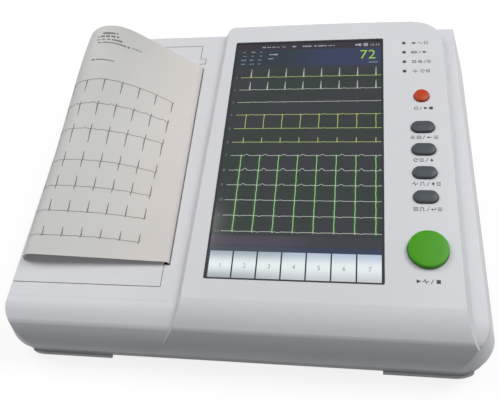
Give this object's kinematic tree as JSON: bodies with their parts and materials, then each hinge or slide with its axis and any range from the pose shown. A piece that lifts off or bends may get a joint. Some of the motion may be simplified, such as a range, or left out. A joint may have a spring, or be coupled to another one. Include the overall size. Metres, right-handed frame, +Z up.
{
  "type": "ecg machine",
  "caption": "Portable multi-lead ECG machine: sloped console with a tall screen and key column, side chart printer with hinged door and arched paper sheet.",
  "frame": {"origin": "centre of the base, on the surface it stands on", "axes": "+Z up, +X to the user's right, +Y from the user towards the rear wall"},
  "size_m": [0.4028, 0.3215, 0.1317],
  "materials": {
    "housing_white": "satin moulded plastic, off-white",
    "base_grey": "fine moulded texture",
    "screen_glass": "clear cover glass over a lit display",
    "black_trim": "matt black",
    "sheet_steel": "zinc plated sheet",
    "board_green": "solder-masked circuit board",
    "key_grey": "satin dark grey",
    "key_orange": "satin orange",
    "key_green": "satin green",
    "light_pipe": "clear tinted",
    "steel": "turned steel",
    "roller_rubber": "ground silicone rubber",
    "gear_plastic": "natural acetal",
    "brass": "turned brass",
    "aluminium": "extruded",
    "ceramic": "glazed ceramic print line",
    "chart_paper": "thermal chart paper",
    "cardboard": "plain card",
    "spindle_blue": "moulded",
    "tray_grey": "moulded",
    "cell_blue": "shrink sleeve",
    "red_rocker": "gloss",
    "foot_rubber": "moulded rubber"
  },
  "bodies": {
    "chassis": {"upper_casing": "housing_white", "lower_casing": "base_grey", "display_glass": "screen_glass", "display_gasket": "black_trim", "display_module": "sheet_steel", "display_bracket": "sheet_steel", "keypad_board": "board_green", "key_switches": "black_trim", "led_pipes": "light_pipe", "hinge_pins": "steel", "gear_plate": "sheet_steel", "feed_motor": "steel", "head_springs": "steel", "head_bracket": "sheet_steel", "tear_bar": "steel", "paper_tray": "tray_grey", "main_board": "board_green", "power_supply": "board_green", "battery_pack": "cell_blue", "battery_cover": "base_grey", "rear_panel": "tray_grey", "mains_inlet": "black_trim", "rocker_frame": "black_trim", "equipotential_stud": "brass", "stud_nut": "brass", "usb_sockets": "steel", "network_socket": "steel", "patient_socket": "steel", "patient_jackscrews": "steel", "speaker": "black_trim", "rubber_feet": "foot_rubber", "case_screws": "steel", "cover_screws": "steel", "panel_screws": "steel"},
    "door": {"printer_door": "housing_white", "platen_bushes": "black_trim", "paper_sheet": "chart_paper"},
    "platen": {"platen_roller": "roller_rubber", "platen_shaft": "steel", "platen_gear": "gear_plastic"},
    "idler": {"idler_gear": "gear_plastic"},
    "motor_rotor": {"motor_pinion": "brass"},
    "chart_roll": {"paper_roll": "chart_paper", "roll_core": "cardboard", "roll_spindle": "spindle_blue"},
    "print_head": {"print_head": "ceramic", "head_heatsink": "aluminium"},
    "rocker": {"rocker_switch": "red_rocker"},
    "power_key_body": {"power_key": "key_orange"},
    "grey_key_1_body": {"grey_key_1": "key_grey"},
    "grey_key_2_body": {"grey_key_2": "key_grey"},
    "grey_key_3_body": {"grey_key_3": "key_grey"},
    "grey_key_4_body": {"grey_key_4": "key_grey"},
    "start_key_body": {"start_key": "key_green"}
  },
  "joints": [
    {"name": "door_hinge", "type": "hinge", "parent": "chassis", "child": "door", "pos_m": [-0.19826, -0.12, 0.034], "axis": [-0.014, -0.9999, 0], "range_deg": [0, 70]},
    {"name": "platen_spin", "type": "hinge", "parent": "door", "child": "platen", "pos_m": [-0.06685, 0.01083, 0.04844], "axis": [0, 0.9981, 0.061], "continuous": true},
    {"name": "idler_spin", "type": "hinge", "parent": "chassis", "child": "idler", "pos_m": [-0.05799, 0.01177, 0.03312], "axis": [0, 0.9981, 0.061], "continuous": true},
    {"name": "motor_spin", "type": "hinge", "parent": "chassis", "child": "motor_rotor", "pos_m": [-0.05114, 0.01244, 0.02218], "axis": [0, 0.9981, 0.061], "continuous": true},
    {"name": "roll_spin", "type": "hinge", "parent": "chassis", "child": "chart_roll", "pos_m": [-0.13, 0.01146, 0.03806], "axis": [0, 0.9981, 0.061], "continuous": true},
    {"name": "head_float", "type": "slide", "parent": "chassis", "child": "print_head", "axis": [1, 0, 0], "range_m": [0, 0.0005], "stiffness_N_per_m": 6000, "deforming": ["head_springs"]},
    {"name": "rocker_tilt", "type": "hinge", "parent": "chassis", "child": "rocker", "pos_m": [0.09662, 0.1455, 0.041], "axis": [1, 0, 0], "range_deg": [0, 14]},
    {"name": "power_key_press", "type": "slide", "parent": "chassis", "child": "power_key_body", "axis": [0, 0.061, -0.9981], "range_m": [0, 0.0008], "stiffness_N_per_m": 400},
    {"name": "grey_key_1_press", "type": "slide", "parent": "chassis", "child": "grey_key_1_body", "axis": [0, 0.061, -0.9981], "range_m": [0, 0.0008], "stiffness_N_per_m": 400},
    {"name": "grey_key_2_press", "type": "slide", "parent": "chassis", "child": "grey_key_2_body", "axis": [0, 0.061, -0.9981], "range_m": [0, 0.0008], "stiffness_N_per_m": 400},
    {"name": "grey_key_3_press", "type": "slide", "parent": "chassis", "child": "grey_key_3_body", "axis": [0, 0.061, -0.9981], "range_m": [0, 0.0008], "stiffness_N_per_m": 400},
    {"name": "grey_key_4_press", "type": "slide", "parent": "chassis", "child": "grey_key_4_body", "axis": [0, 0.061, -0.9981], "range_m": [0, 0.0008], "stiffness_N_per_m": 400},
    {"name": "start_key_press", "type": "slide", "parent": "chassis", "child": "start_key_body", "axis": [0, 0.061, -0.9981], "range_m": [0, 0.0008], "stiffness_N_per_m": 400}
  ],
  "couplings": [
    {"joint": "idler_spin", "follows": "platen_spin", "ratio": -1.2},
    {"joint": "motor_spin", "follows": "platen_spin", "ratio": 2}
  ]
}
